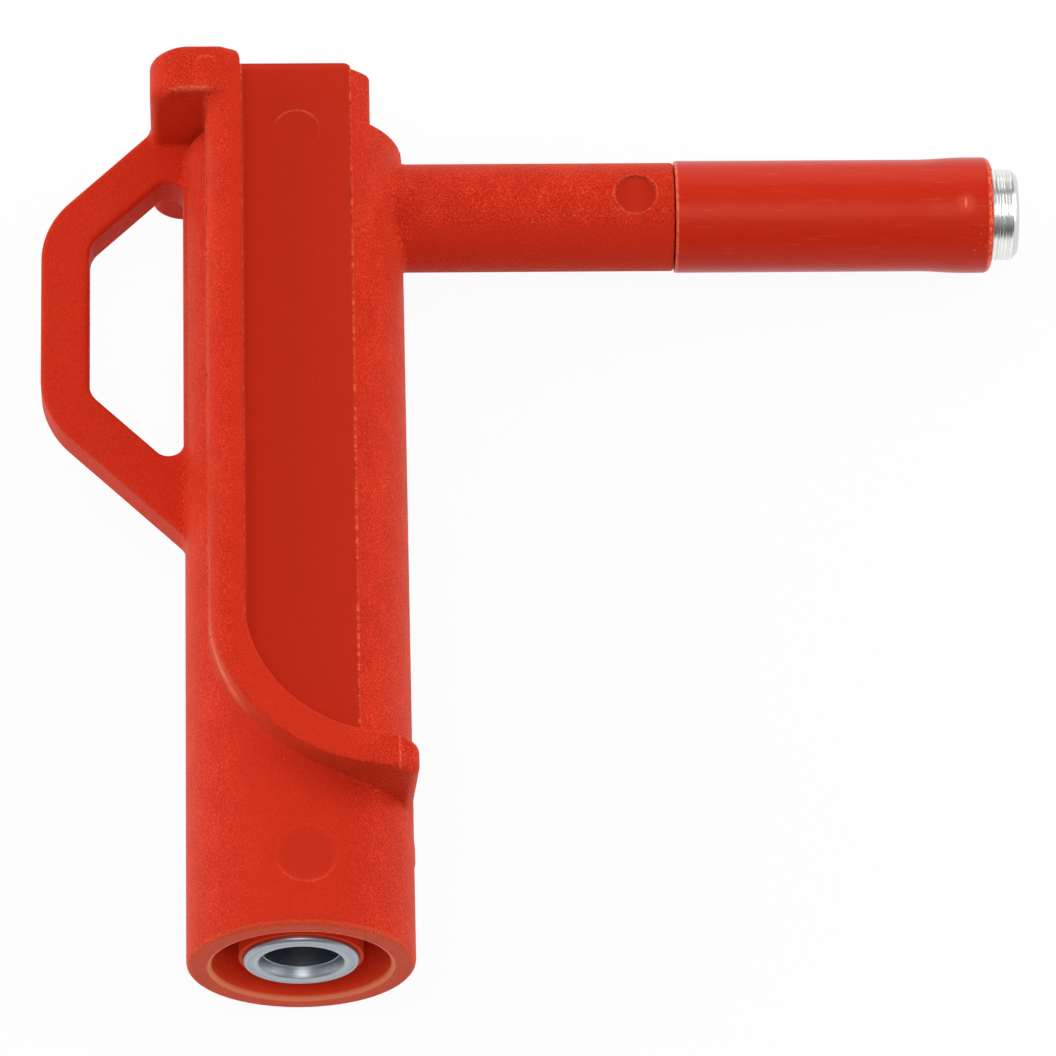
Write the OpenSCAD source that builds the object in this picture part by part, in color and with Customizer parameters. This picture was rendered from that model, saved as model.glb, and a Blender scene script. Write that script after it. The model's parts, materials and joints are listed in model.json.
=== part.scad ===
// Magnetic test lead adapter: a shrouded 4 mm socket in a moulded barrel, with a finger loop, a
// finger guard and a side arm that ends in a magnet.
// Each piece is drawn upright: barrel axis on Z, socket mouth at the bottom, arm along X, back
// towards +Y. at_rest() then lays the whole adapter down the way it comes to rest on a table.

/* [Barrel] */
// Diameter of the barrel at its shoulder
body_d = 12.05; // [11.8:0.05:12.4]
// Diameter of the barrel at its mouth, a little more because the mould tapers
mouth_d = 12.15; // [12:0.05:12.4]
// Height of the shoulder above the socket mouth
body_h = 48.2; // [47.8:0.1:48.8]
// Diameter of the neck above the shoulder
neck_d = 11.2; // [10.8:0.1:11.4]
// Height of the neck's top above the socket mouth
top_z = 51.54; // [51.3:0.02:52]
// Distance from the axis to the neck's flat on the side of the arm
neck_flat = 4.25; // [4:0.05:4.6]
// Distance from the axis to the smooth panels at the front and the back
panel_off = 5.2; // [5.1:0.05:5.3]
// Half the width of a smooth panel
panel_half = 3.2; // [3:0.1:3.3]

/* [Socket] */
// Diameter of the bore that takes the plug's pin
bore_d = 4.1; // [4.05:0.05:4.2]
// Depth of that bore
bore_h = 24; // [20:0.5:26]
// Diameter of the slot that takes the plug's shroud
slot_d = 9.5; // [9.2:0.1:9.8]
// Depth of the slot
slot_h = 20; // [18:0.5:22]
// Diameter of the plastic tube inside the slot
tube_d = 6.6; // [6.5:0.1:6.8]
// Diameter of the contact inside that tube
contact_d = 5.4; // [5.3:0.1:5.6]
// Diameter of the contact's flange
flange_d = 6.22; // [6.1:0.02:6.4]

/* [Finger guard] */
// Half the depth of the guard, front to back
guard_half = 7.8; // [7.4:0.1:8.2]
// Thickness of the rib and the sweep
band_t = 1.9; // [1.7:0.1:2.1]
// Distance from the axis to the middle of the rib
rib_x = 3.85; // [3.75:0.05:3.95]
// Radius of the sweep's middle line
sweep_r = 8.9; // [8.6:0.1:9.2]
// Height at which the rib turns into the sweep
sweep_z = 18.1; // [17.6:0.1:18.6]
// Fall of the sweep's straight end, in degrees
sweep_fall = 10; // [8:1:12]
// Distance from the axis to the guard's right end, where it is widest
guard_right = 6.35; // [6.2:0.05:6.5]
// Distance from the axis to the guard's right end at its waist, which hides in the barrel
guard_waist = 5.9; // [5.8:0.05:5.95]
// Distance from the axis to the roof's left end
roof_left = 7.85; // [7.6:0.05:8.1]
// Height of the roof's top above the socket mouth
roof_z = 51.3; // [51.1:0.05:51.5]
// Thickness of the roof
roof_t = 2.8; // [2.6:0.1:3]

/* [Finger loop] */
// Thickness of the loop's plate
loop_t = 2.4; // [2.2:0.1:2.6]
// Width of the loop's band
loop_w = 2.65; // [2.3:0.05:2.8]
// Distance from the axis to the loop's outer side
loop_out = 13.9; // [13.6:0.05:14.3]
// Height of the loop's middle
loop_z = 37.9; // [37.5:0.1:38.2]
// Half the height of the opening where it meets the barrel
loop_half = 9.6; // [9.4:0.05:9.9]
// Slope of the loop's upper and lower arms, in degrees
loop_slope = 44; // [43:0.5:45]

/* [Arm] */
// Height of the arm's axis above the socket mouth
arm_z = 44.5; // [44.2:0.1:44.8]
// Diameter of the moulded stub
stub_d = 6; // [5.9:0.1:6.1]
// Distance from the barrel's axis to the stub's end
stub_x = 21; // [20:0.1:22]
// Diameter of the insulating sleeve
sleeve_d = 6.2; // [6.1:0.1:6.3]
// Diameter of the sleeve's thick end
collar_d = 6.42; // [6.38:0.02:6.5]
// Distance from the barrel's axis to the sleeve's end
sleeve_x = 38.65; // [37:0.05:39]
// Diameter of the metal tip
tip_d = 5; // [4.9:0.05:5.1]
// Distance from the barrel's axis to the tip's face
tip_x = 40.1; // [39.8:0.1:41]
// Diameter of the threaded stud behind the tip
stud_d = 3; // [2.8:0.1:3.2]
// Diameter of the magnet
magnet_d = 3.6; // [3.2:0.1:3.8]
// Length of the magnet
magnet_h = 4; // [3:0.5:6]

/* [Hidden] */
$fn = 96;

eps = 0.01;
body_r = body_d / 2;
mouth_r = mouth_d / 2;
neck_r = neck_d / 2;
red = [0.84, 0.2, 0.14];
nickel = [0.72, 0.74, 0.77];

// Roundings of the housing's edges
rim_round = 0.3;
shoulder_round = 0.15;
neck_round = 0.2;
panel_round = 0.12;
// Lead-in at the slot's mouth
slot_lead = 0.15;
// How far the contact's flange stays inside the mouth, and its thickness
contact_in = 0.2;
flange_t = 0.35;
flange_round = 0.25;
// Top of the contact, above the stud
contact_top = 47;
// Lead-in cone of the bore: widening of the radius, and depth
lead_r = 0.22;
lead_h = 0.65;
// Clearance of a seated round piece in its hole
seat_gap = 0.03;

// Corner radii of the guard, seen from above and seen from the front
roof_corner = 2.1;
roof_back_corner = 1.4;
rib_corner = 1.55;
end_corner = 1.2;
roof_end_round = 0.9;
roof_left_round = 0.6;
roof_edge = 0.4;
end_round = 0.6;
roof_inner_x = rib_x - band_t / 2;
rib_outer_x = rib_x + band_t / 2;

// The guard's right end draws in towards its waist: middle of the corner's arc
end_draw = atan((guard_right - guard_waist) / guard_half);
end_centre = guard_right - end_corner * tan(end_draw) - end_corner / cos(end_draw);

// Corner radii of the loop
loop_outer_r = 4.9;
loop_inner_r = 1.4;
loop_fillet_r = 0.9;

// Seam between the stub and the sleeve, and the sleeve's thick end
seam = 0.06;
sleeve_wall = 0.6;
collar_len = 1.9;
collar_blend = 0.8;
collar_round = 0.45;
sleeve_round = 0.12;
tip_chamfer = 0.3;
stud_in = 2.2;
thick_x = stub_x + seam + sleeve_wall + seat_gap;
// Round mark that the ejector left on the stub
mark_d = 2.4;
mark_x = 18.85;
mark_depth = 0.28;

// Three places touch the table when the adapter lies on its back: the right end of the sweep,
// the roof's end and the thick end of the sleeve. Each of them is rounded, so where it touches
// depends a little on how the adapter leans, and the lean is worked out twice.
touching = touches(table_normal(touches([0, 1, 0])));
normal = table_normal(touching);
roll = atan2(normal[0], normal[1]);
lean = atan2(normal[2], norm([normal[0], normal[1]]));
lift = normal * touching[0];
// Ends of the lying adapter, which put the origin under its middle
left_end = -loop_out * cos(roll) - loop_t / 2 * sin(roll);
right_end = tip_x * cos(roll) + (tip_d / 2 - tip_chamfer) * sin(roll);
top_end = (top_z - neck_round) * cos(lean) + (neck_r - neck_round) * sin(lean) + neck_round;
low_end = -(mouth_r - rim_round) * sin(lean) - rim_round * (1 - cos(lean));

function unit(v) = v / norm(v);
function table_normal(t) = unit(cross(t[1] - t[0], t[2] - t[0]));
// The three places that touch a table whose normal is n
function touches(n) =
    let (
        plan = unit([n[0], n[1]]),
        side = unit([n[1], n[2]]),
        reach = collar_d / 2 - collar_round + collar_round * norm([n[1], n[2]]),
        end_x = end_centre + end_corner * plan[0]
    ) [
        [end_x, guard_half - end_corner + end_corner * plan[1], sweep_top(end_x)],
        [-roof_inner_x - 0.18, guard_half, roof_z - 0.42 * roof_end_round],
        [sleeve_x - collar_round + collar_round * n[0], reach * side[0], arm_z + reach * side[1]]
    ];
function arc(x, y, r, from, to, steps) =
    [for (i = [0:steps]) let (a = from + (to - from) * i / steps) [x + r * cos(a), y + r * sin(a)]];
// Height of the sweep's straight end at the distance x from the axis: middle line and upper edge
function sweep_mid(x) =
    sweep_z - sweep_r / cos(sweep_fall) - (x - sweep_r + rib_x) * tan(sweep_fall);
function sweep_top(x) = sweep_mid(x) + band_t / 2 / cos(sweep_fall);
// Half the loop's height at the distance x from the axis, for a line that is out from the opening
function loop_reach(x, out) = loop_half + out / cos(loop_slope) - (x - body_r) * tan(loop_slope);

// Lays an upright piece down on its back, with the origin on the table under the middle
module at_rest() {
    translate([-(left_end + right_end) / 2, -(top_end + low_end) / 2, lift])
        rotate([-90 - lean, 0, 0])
            rotate([0, 0, roll])
                children();
}

// Outline with its corners rounded: each point is [x, y, radius]
module rounded(points) {
    n = len(points);
    polygon([for (i = [0:n - 1]) each corner(points[(i + n - 1) % n], points[i], points[(i + 1) % n])]);
}
function flat(p) = [p[0], p[1]];
function corner(before, p, after) =
    p[2] == 0 ? [flat(p)] : let (
        u = unit(flat(before) - flat(p)),
        v = unit(flat(after) - flat(p)),
        half = acos(u * v) / 2,
        centre = flat(p) + unit(u + v) * p[2] / sin(half),
        start = flat(p) + u * p[2] / tan(half) - centre,
        end = flat(p) + v * p[2] / tan(half) - centre,
        from = atan2(start[1], start[0]),
        turn = (atan2(end[1], end[0]) - from + 540) % 360 - 180
    ) arc(centre[0], centre[1], p[2], from, from + turn, p[2] > 5 ? 28 : 8);

// Turns an outline drawn in X and Z into a plate from front to back
module front_to_back(half) {
    rotate([90, 0, 0])
        linear_extrude(2 * half, center = true)
            children();
}

// Everything to the right of the rib's middle and above the sweep's, seen from the front
module panel_field() {
    rounded([
        [-rib_x, top_z + 1, 0], [-rib_x, sweep_mid(-rib_x), sweep_r],
        [body_r, sweep_mid(body_r), 0], [body_r, top_z + 1, 0]]);
}

module barrel() {
    rotate_extrude()
        polygon(concat(
            [[0, 0]],
            arc(mouth_r - rim_round, rim_round, rim_round, -90, 0, 4),
            arc(body_r - shoulder_round, body_h - shoulder_round, shoulder_round, 0, 90, 4),
            [[0, body_h]]));
}

module neck() {
    intersection() {
        rotate_extrude()
            polygon(concat(
                [[0, body_h - 1], [neck_r, body_h - 1]],
                arc(neck_r - neck_round, top_z - neck_round, neck_round, 0, 90, 4),
                [[0, top_z]]));
        translate([neck_flat - 2 * neck_r, -neck_r, 0]) cube([2 * neck_r, 2 * neck_r, top_z]);
    }
}

// The slab whose two faces are the smooth panels. Its corners stand a little proud of the barrel,
// and both its lower corners end inside the guard.
module panel_slab() {
    intersection() {
        rotate([90, 0, 90])
            linear_extrude(2 * panel_half, center = true)
                rounded([
                    [-panel_off, 5, 0], [panel_off, 5, 0],
                    [panel_off, top_z, panel_round], [-panel_off, top_z, panel_round]]);
        front_to_back(body_r)
            polygon([
                [-panel_half - 1, sweep_z - 3], [panel_half + 1, sweep_mid(panel_half + 1)],
                [panel_half + 1, top_z + 1], [-panel_half - 1, top_z + 1]]);
    }
}

// What the smooth panels take off the round barrel
module panel_cut() {
    for (side = [-1, 1])
        intersection() {
            translate([-panel_half, side > 0 ? panel_off : -panel_off - 2, 0])
                cube([2 * panel_half, 2, top_z + 1]);
            front_to_back(body_r + 2) panel_field();
        }
}

module roof() {
    intersection() {
        front_to_back(guard_half + 1)
            rounded([
                [-roof_left, roof_z - roof_t, 0], [-roof_inner_x, roof_z - roof_t, 0],
                [-roof_inner_x, roof_z, roof_end_round], [-roof_left, roof_z, roof_left_round]]);
        linear_extrude(top_z + 1)
            rounded([
                [-roof_left, -guard_half, roof_corner], [-roof_inner_x, -guard_half, 0.2],
                [-roof_inner_x, guard_half, 0.2], [-roof_left, guard_half, roof_back_corner]]);
        rotate([90, 0, 90])
            linear_extrude(4 * roof_left, center = true)
                rounded([
                    [-guard_half, roof_z - 2 * roof_t, 0], [guard_half, roof_z - 2 * roof_t, 0],
                    [guard_half, roof_z, roof_edge], [-guard_half, roof_z, roof_edge]]);
    }
}

// Rib and sweep: one band that runs down beside the panel and turns under it
module band_outline() {
    wide = band_t / cos(sweep_fall);
    right = guard_right;
    rib_top = roof_z - roof_t / 2;
    rounded([
        [-rib_outer_x, rib_top, 0],
        [-rib_outer_x, sweep_top(-rib_outer_x) - wide, sweep_r + band_t / 2],
        [right, sweep_top(right) - wide, end_round],
        [right, sweep_top(right), end_round],
        [-roof_inner_x, sweep_top(-roof_inner_x), sweep_r - band_t / 2],
        [-roof_inner_x, rib_top, 0]]);
}

module band() {
    intersection() {
        front_to_back(guard_half + 1) band_outline();
        linear_extrude(top_z)
            rounded([
                [-rib_outer_x, -guard_half, rib_corner], [guard_right, -guard_half, end_corner],
                [guard_waist, 0, 0], [guard_right, guard_half, end_corner],
                [-rib_outer_x, guard_half, rib_corner]]);
    }
}

module loop() {
    inner = loop_out - loop_w;
    front_to_back(loop_t / 2)
        difference() {
            rounded([
                [-body_r + 3, loop_z - loop_reach(body_r, loop_w), 0],
                [-body_r, loop_z - loop_reach(body_r, loop_w), 0],
                [-loop_out, loop_z - loop_reach(loop_out, loop_w), loop_outer_r],
                [-loop_out, loop_z + loop_reach(loop_out, loop_w), loop_outer_r],
                [-body_r, loop_z + loop_reach(body_r, loop_w), 0],
                [-body_r + 3, loop_z + loop_reach(body_r, loop_w), 0]]);
            rounded([
                [-body_r, loop_z - loop_half, loop_fillet_r],
                [-inner, loop_z - loop_reach(inner, 0), loop_inner_r],
                [-inner, loop_z + loop_reach(inner, 0), loop_inner_r],
                [-body_r, loop_z + loop_half, loop_fillet_r]]);
        }
}

module stub() {
    translate([0, 0, arm_z])
        rotate([0, 90, 0])
            cylinder(d = stub_d, h = stub_x);
}

// Slot round the contact's tube, with a lead-in at its mouth
module slot() {
    difference() {
        union() {
            translate([0, 0, -eps]) cylinder(d = slot_d, h = slot_h + eps);
            translate([0, 0, -eps])
                cylinder(r1 = slot_d / 2 + slot_lead + eps, r2 = slot_d / 2, h = slot_lead + eps);
        }
        translate([0, 0, contact_in + flange_t]) cylinder(d = tube_d, h = slot_h);
    }
}

module housing() {
    color(red)
        at_rest()
            difference() {
                union() {
                    difference() {
                        union() {
                            barrel();
                            neck();
                        }
                        panel_cut();
                    }
                    panel_slab();
                    roof();
                    band();
                    loop();
                    stub();
                }
                slot();
                cylinder(d = contact_d + 2 * seat_gap, h = contact_top);
                translate([0, 0, arm_z])
                    rotate([0, 90, 0])
                        cylinder(d = stud_d + 2 * seat_gap, h = stub_x + 1);
                translate([mark_x, -stub_d / 2 + mark_depth, arm_z])
                    rotate([90, 0, 0])
                        cylinder(d = mark_d, h = 1, $fn = 48);
            }
}

// Turned contact: a flange at the mouth, a long bore and a solid head with a cross hole
module socket_contact() {
    head_r = contact_d / 2;
    bore_r = bore_d / 2;
    color(nickel)
        at_rest()
            difference() {
                rotate_extrude()
                    polygon([
                        each [[bore_r + lead_r, contact_in]],
                        each arc(flange_d / 2 - flange_round, contact_in + flange_round, flange_round, -90, 0, 4),
                        each [
                            [flange_d / 2, contact_in + flange_t], [head_r, contact_in + flange_t],
                            [head_r, contact_top - 0.3], [head_r - 0.3, contact_top], [0, contact_top],
                            [0, bore_h + contact_in], [bore_r, bore_h + contact_in],
                            [bore_r, contact_in + lead_h]]]);
                translate([-head_r - 1, 0, arm_z])
                    rotate([0, 90, 0])
                        cylinder(d = stud_d + 2 * seat_gap, h = contact_d + 2);
            }
}

// Turned rod: a stud that runs through the stub into the contact, and the thick tip
module tip_rod() {
    color(nickel)
        at_rest()
            translate([0, 0, arm_z])
                rotate([0, 90, 0])
                    rotate_extrude()
                        polygon([
                            [0, -stud_in], [stud_d / 2 - 0.3, -stud_in], [stud_d / 2, 0.3 - stud_in],
                            [stud_d / 2, thick_x], [tip_d / 2, thick_x],
                            [tip_d / 2, tip_x - tip_chamfer],
                            [tip_d / 2 - tip_chamfer, tip_x], [magnet_d / 2 + seat_gap, tip_x],
                            [magnet_d / 2 + seat_gap, tip_x - magnet_h], [0, tip_x - magnet_h]]);
}

module magnet() {
    color([0.62, 0.63, 0.66])
        at_rest()
            translate([tip_x - magnet_h, 0, arm_z])
                rotate([0, 90, 0])
                    cylinder(d = magnet_d, h = magnet_h);
}

// Insulating sleeve with an end wall round the stud and a thicker, rounded end beside the tip
module arm_sleeve() {
    hole_r = tip_d / 2 + seat_gap;
    outer_r = sleeve_d / 2;
    collar_r = collar_d / 2;
    start = stub_x + seam;
    color(red)
        at_rest()
            translate([0, 0, arm_z])
                rotate([0, 90, 0])
                    rotate_extrude()
                        polygon(concat(
                            [[hole_r, start + sleeve_wall], [stud_d / 2 + seat_gap, start + sleeve_wall],
                             [stud_d / 2 + seat_gap, start]],
                            arc(outer_r - sleeve_round, start + sleeve_round, sleeve_round, -90, 0, 3),
                            [[outer_r, sleeve_x - collar_len - collar_blend],
                             [collar_r, sleeve_x - collar_len]],
                            arc(collar_r - collar_round, sleeve_x - collar_round, collar_round, 0, 90, 6),
                            [[hole_r, sleeve_x]]));
}

housing();
socket_contact();
tip_rod();
magnet();
arm_sleeve();
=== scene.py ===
import json
import math
import bmesh
import bpy
import numpy as np
from mathutils import Matrix, Vector


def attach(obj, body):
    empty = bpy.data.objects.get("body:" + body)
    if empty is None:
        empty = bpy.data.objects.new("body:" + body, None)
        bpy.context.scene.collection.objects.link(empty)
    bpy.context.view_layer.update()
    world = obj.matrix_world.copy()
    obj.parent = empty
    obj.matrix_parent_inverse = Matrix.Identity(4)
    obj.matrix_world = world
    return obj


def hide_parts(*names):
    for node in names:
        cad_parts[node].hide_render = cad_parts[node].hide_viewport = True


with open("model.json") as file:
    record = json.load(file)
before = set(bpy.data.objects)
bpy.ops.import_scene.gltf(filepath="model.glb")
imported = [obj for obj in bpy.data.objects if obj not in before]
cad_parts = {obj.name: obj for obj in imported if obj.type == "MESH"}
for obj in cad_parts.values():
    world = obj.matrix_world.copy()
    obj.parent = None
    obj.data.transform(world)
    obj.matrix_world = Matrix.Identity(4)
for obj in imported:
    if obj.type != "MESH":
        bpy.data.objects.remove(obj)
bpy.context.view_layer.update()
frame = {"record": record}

mm = 0.001

# Barrel frame: X along the arm, Y to the back, Z up the barrel, in millimetres from the mouth.
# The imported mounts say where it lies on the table.
mounts = {m["name"]: m for m in frame["record"]["mounts"]}
armAxis = Vector(mounts["magnet_face"]["axis"]).normalized()
barrelAxis = -Vector(mounts["socket"]["axis"]).normalized()
backAxis = barrelAxis.cross(armAxis).normalized()
armAxis = backAxis.cross(barrelAxis).normalized()
tipFace = Vector((40.1, 0.0, 44.5))
barrelToTable = Matrix((armAxis, backAxis, barrelAxis)).transposed()
mouthPoint = Vector(mounts["magnet_face"]["pos_m"]) - barrelToTable @ (tipFace * mm)


def onTable(points):
    turn = np.array(barrelToTable)
    return np.asarray(points, float) @ turn.T * mm + np.array(mouthPoint)


def alongTable(directions):
    return np.asarray(directions, float) @ np.array(barrelToTable).T


# Node helpers
def addNode(tree, kind, inputs=None, **settings):
    made = tree.nodes.new(kind)
    for name, value in settings.items():
        setattr(made, name, value)
    for name, value in (inputs or {}).items():
        if isinstance(value, bpy.types.NodeSocket):
            tree.links.new(value, made.inputs[name])
        else:
            made.inputs[name].default_value = value
    return made


def calc(tree, operation, *values):
    # more than two values are taken in turn, as in (a + b) + c
    made = addNode(tree, "ShaderNodeMath", dict(enumerate(values[:2])), operation=operation).outputs[0]
    return calc(tree, operation, made, *values[2:]) if len(values) > 2 else made


def plus(tree, *values):
    return calc(tree, "ADD", *values)


def minus(tree, *values):
    return calc(tree, "SUBTRACT", *values)


def times(tree, *values):
    return calc(tree, "MULTIPLY", *values)


def largest(tree, *values):
    return calc(tree, "MAXIMUM", *values)


def blendColour(tree, share, low, high):
    return addNode(tree, "ShaderNodeMix", {0: share, 6: low, 7: high}, data_type="RGBA").outputs[2]


def between(tree, value, low, high, toLow=0.0, toHigh=1.0, smooth=True):
    made = addNode(tree, "ShaderNodeMapRange", {0: value, 1: low, 2: high, 3: toLow, 4: toHigh},
                   interpolation_type="SMOOTHSTEP" if smooth else "LINEAR")
    return made.outputs[0]


def below(tree, value, low, high):
    return between(tree, value, low, high, 1.0, 0.0)


def closeTo(tree, value, place, full, gone, most=1.0, least=0.0):
    off = calc(tree, "ABSOLUTE", minus(tree, value, place))
    return between(tree, off, full, gone, most, least)


def vectorLength(tree, vector):
    return addNode(tree, "ShaderNodeVectorMath", {0: vector}, operation="LENGTH").outputs["Value"]


def lengthOf(tree, x, y):
    return vectorLength(tree, addNode(tree, "ShaderNodeCombineXYZ", {0: x, 1: y}).outputs[0])


def noiseOf(tree, place, scale, detail, roughness=0.5, alongLine=False):
    # without a place the noise follows the position itself
    values = {"Scale": scale, "Detail": detail, "Roughness": roughness}
    if place is not None:
        values["W" if alongLine else "Vector"] = place
    return addNode(tree, "ShaderNodeTexNoise", values, noise_dimensions="1D" if alongLine else "3D").outputs[0]


def newTree(name, kind, inputs, outputs):
    tree = bpy.data.node_groups.new(name, kind)
    for label, socket in inputs:
        tree.interface.new_socket(label, in_out="INPUT", socket_type="NodeSocket" + socket)
    for label, socket in outputs:
        tree.interface.new_socket(label, in_out="OUTPUT", socket_type="NodeSocket" + socket)
    return tree, addNode(tree, "NodeGroupInput").outputs, addNode(tree, "NodeGroupOutput").inputs


def finishTree(tree, last, given, result):
    solid = addNode(tree, "GeometryNodeRealizeInstances", {"Geometry": last.outputs[0]})
    done = addNode(tree, "GeometryNodeSetMaterial", {"Geometry": solid.outputs[0], "Material": given["Material"]})
    tree.links.new(done.outputs[0], result["Geometry"])


def newObject(name, data):
    o = bpy.data.objects.new(name, data)
    bpy.context.scene.collection.objects.link(o)
    return o


def asPlainMesh(o, name):
    # the evaluated object as a mesh of its own, with the modifiers gone
    mesh = bpy.data.meshes.new_from_object(o.evaluated_get(bpy.context.evaluated_depsgraph_get()))
    mesh.name = name
    o.modifiers.clear()
    old = o.data
    o.data = mesh
    bpy.data.meshes.remove(old)
    return mesh


def withNodes(name, mesh, tree, values):
    # runs a Geometry Nodes tree on a mesh and keeps the result
    o = newObject(name, mesh)
    modifier = o.modifiers.new(tree.name, "NODES")
    modifier.node_group = tree
    for item in tree.interface.items_tree:
        if item.item_type == "SOCKET" and item.in_out == "INPUT" and item.name in values:
            modifier[item.identifier] = values[item.name]
    asPlainMesh(o, name)
    return o


def pointsOf(mesh):
    points = np.empty(len(mesh.vertices) * 3)
    mesh.vertices.foreach_get("co", points)
    return points.reshape(-1, 3)


def cornersOf(mesh):
    # for a mesh of triangles
    corners = np.empty(len(mesh.loops), np.int64)
    mesh.loops.foreach_get("vertex_index", corners)
    return corners.reshape(-1, 3)


def editMesh(mesh, added=None, loose=False, triangles=False, outward=False):
    work = bmesh.new()
    work.from_mesh(mesh)
    if added:
        work.from_mesh(added)
    if loose:
        bmesh.ops.delete(work, geom=[e for e in work.edges if not e.link_faces], context="EDGES")
    if triangles:
        bmesh.ops.triangulate(work, faces=work.faces)
    if outward:
        bmesh.ops.recalc_face_normals(work, faces=work.faces)
    work.to_mesh(mesh)
    work.free()


def smoothMesh(mesh, angle):
    # smooth faces, with sharp edges where they turn by more than the angle
    mesh.polygons.foreach_set("use_smooth", np.ones(len(mesh.polygons), bool))
    mesh.set_sharp_from_angle(angle=math.radians(angle))
    mesh.update()


def triangleMesh(name, points, corners):
    mesh = bpy.data.meshes.new(name)
    mesh.vertices.add(len(points))
    mesh.vertices.foreach_set("co", np.asarray(points, float).ravel())
    mesh.loops.add(3 * len(corners))
    mesh.loops.foreach_set("vertex_index", np.asarray(corners).ravel())
    mesh.polygons.add(len(corners))
    mesh.polygons.foreach_set("loop_start", 3 * np.arange(len(corners)))
    mesh.update(calc_edges=True)
    return mesh


# The moulded housing: one plastic body, worked out as a distance field in the barrel frame
housingSizes = {
    "mouthRadius": 6.075, "barrelRadius": 6.025, "barrelHeight": 48.2, "barrelRim": 0.32, "barrelShoulder": 0.15,
    "neckRadius": 5.6, "neckTop": 51.54, "neckFlat": 4.25, "neckEdge": 0.2, "neckFoot": 0.1,
    "panelDepth": 5.2, "panelHalf": 3.2, "panelEdge": 0.08, "panelLeftCorner": 0.05, "panelCorner": 0.4,
    "bevelHeight": 0.43, "bevelOut": 0.97, "bevelUp": 0.24,
    "slotRadius": 4.75, "slotDepth": 20.0, "slotLip": 0.24,
    "tubeRadius": 3.3, "tubeTop": 0.55, "seatRadius": 2.73, "seatDepth": 47.0,
    "guardHalf": 7.8, "bandWidth": 1.9, "ribX": 3.85, "sweepRadius": 8.9, "sweepHeight": 18.1,
    "sweepFall": 10.0, "guardRight": 6.35, "guardWaist": 5.9, "ribCorner": 1.55, "endCorner": 1.2,
    "endRound": 0.6, "bandEdge": 0.16, "guardFoot": 0.22,
    "roofLeft": 7.85, "roofTop": 51.3, "roofDepth": 2.8, "roofCorner": 2.1, "roofBackCorner": 1.4,
    "roofRoot": 0.4, "roofTopEdge": 0.4, "roofLowEdge": 0.22,
    "loopThick": 2.4, "loopWidth": 2.65, "loopOut": 13.9, "loopMiddle": 37.9, "loopHalf": 9.6,
    "loopSlope": 44.0, "loopOuterCorner": 4.9, "loopInnerCorner": 1.4, "loopFillet": 0.9,
    "loopEdge": 0.25, "loopFoot": 0.3,
    "armHeight": 44.5, "stubRadius": 3.0, "stubEnd": 21.0, "stubEdge": 0.12, "stubFoot": 0.25,
    "studHole": 1.53, "markX": 18.85, "markRadius": 1.17, "markDepth": 0.36, "markEdge": 0.04,
    "gridLow": (-14.3, -8.2, -0.4), "gridHigh": (21.4, 8.2, 51.9), "gridStep": 0.17, "triangles": 150000,
}


def roundMax(a, b, r, c=0.0):
    # cuts a shape by another with an edge of radius r; c is the cosine between the faces' normals
    p, q = a + r, b + r
    corner = (p > c * q) & (q > c * p)
    reach = np.sqrt(np.maximum(p * p + q * q - 2 * c * p * q, 0.0) / (1 - c * c))
    return np.where(corner, reach, np.maximum(p, q)) - r


def roundMin(a, b, r):
    # joins two shapes with a fillet of radius r
    return -roundMax(-a, -b, r)


def ramp(v, low, high):
    t = np.clip((v - low) / (high - low), 0.0, 1.0)
    return t * t * (3 - 2 * t)


def sweepDistance(x, z, s):
    # distance from the middle line of rib and sweep, positive on the panel's side
    u, v = x + s["ribX"] - s["sweepRadius"], z - s["sweepHeight"]
    a = np.radians(s["sweepFall"])
    straight = u * np.sin(a) + v * np.cos(a) + s["sweepRadius"]
    arc = s["sweepRadius"] - np.hypot(u, v)
    past = u * np.cos(a) - v * np.sin(a)
    return np.where(v >= 0, x + s["ribX"], np.where(past >= 0, straight, arc))


def barrelField(rho, x, z, depth, side, s):
    outer = s["mouthRadius"] + (s["barrelRadius"] - s["mouthRadius"]) * z / s["barrelHeight"]
    barrel = roundMax(rho - outer, -z, s["barrelRim"])
    barrel = roundMax(barrel, z - s["barrelHeight"], s["barrelShoulder"])
    neck = roundMax(rho - s["neckRadius"], z - s["neckTop"], s["neckEdge"])
    neck = roundMax(neck, x - s["neckFlat"], s["neckEdge"])
    neck = np.maximum(neck, s["barrelHeight"] - 1 - z)
    body = roundMin(barrel, neck, s["neckFoot"])
    cut = np.maximum(np.maximum(np.abs(x) - s["panelHalf"], s["panelDepth"] - depth), -side)
    corner = np.where(x > 0, s["panelCorner"], s["panelLeftCorner"])
    slab = roundMax(np.abs(x) - s["panelHalf"], z - s["neckTop"], corner)
    slab = roundMax(slab, depth - s["panelDepth"], s["panelEdge"])
    shape = np.minimum(np.maximum(body, -cut), np.maximum(slab, -side))
    # a narrow bevel along the panel's top
    bevel = (depth - s["panelDepth"]) * s["bevelOut"] + (z - s["neckTop"] + s["bevelHeight"]) * s["bevelUp"]
    return np.maximum(shape, np.minimum(bevel, s["panelHalf"] + 0.02 - np.abs(x)))


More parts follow.
